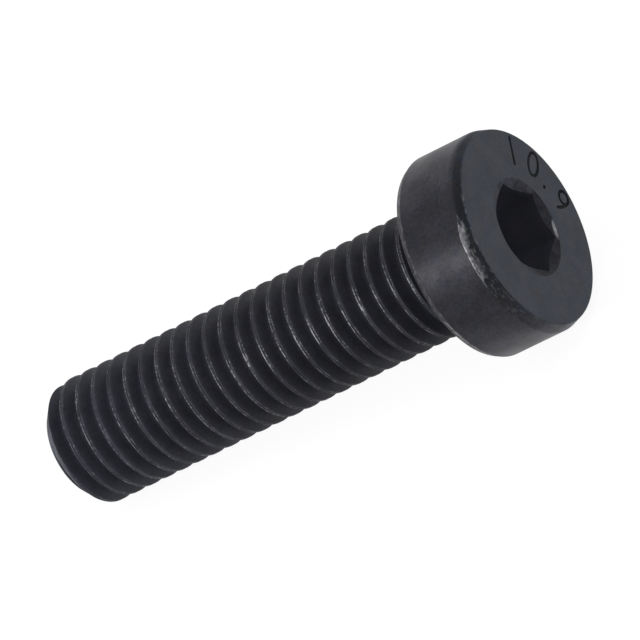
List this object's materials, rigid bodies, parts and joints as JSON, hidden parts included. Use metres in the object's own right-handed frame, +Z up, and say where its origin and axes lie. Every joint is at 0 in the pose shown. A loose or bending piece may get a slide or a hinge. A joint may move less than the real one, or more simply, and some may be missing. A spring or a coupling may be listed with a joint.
{
  "type": "hex socket cap screw",
  "caption": "Low-head hex socket cap screw with a full-length right-hand M8 thread, 30 mm long, black oxide steel.",
  "frame": {"origin": "centre of the bearing face under the head, on the screw's axis", "axes": "+X along the floor from the tip towards the head, +Z up; the screw's axis lies in the XZ plane and rises 4.89 degrees towards the head, as the screw rests on the rim of its head and its thread"},
  "size_m": [0.0356, 0.013, 0.0132],
  "materials": {
    "black_oxide_steel": "black oxide, satin, worn bright on thread crests and the head's edge"
  },
  "bodies": {
    "root": {"screw": "black_oxide_steel"}
  },
  "joints": []
}
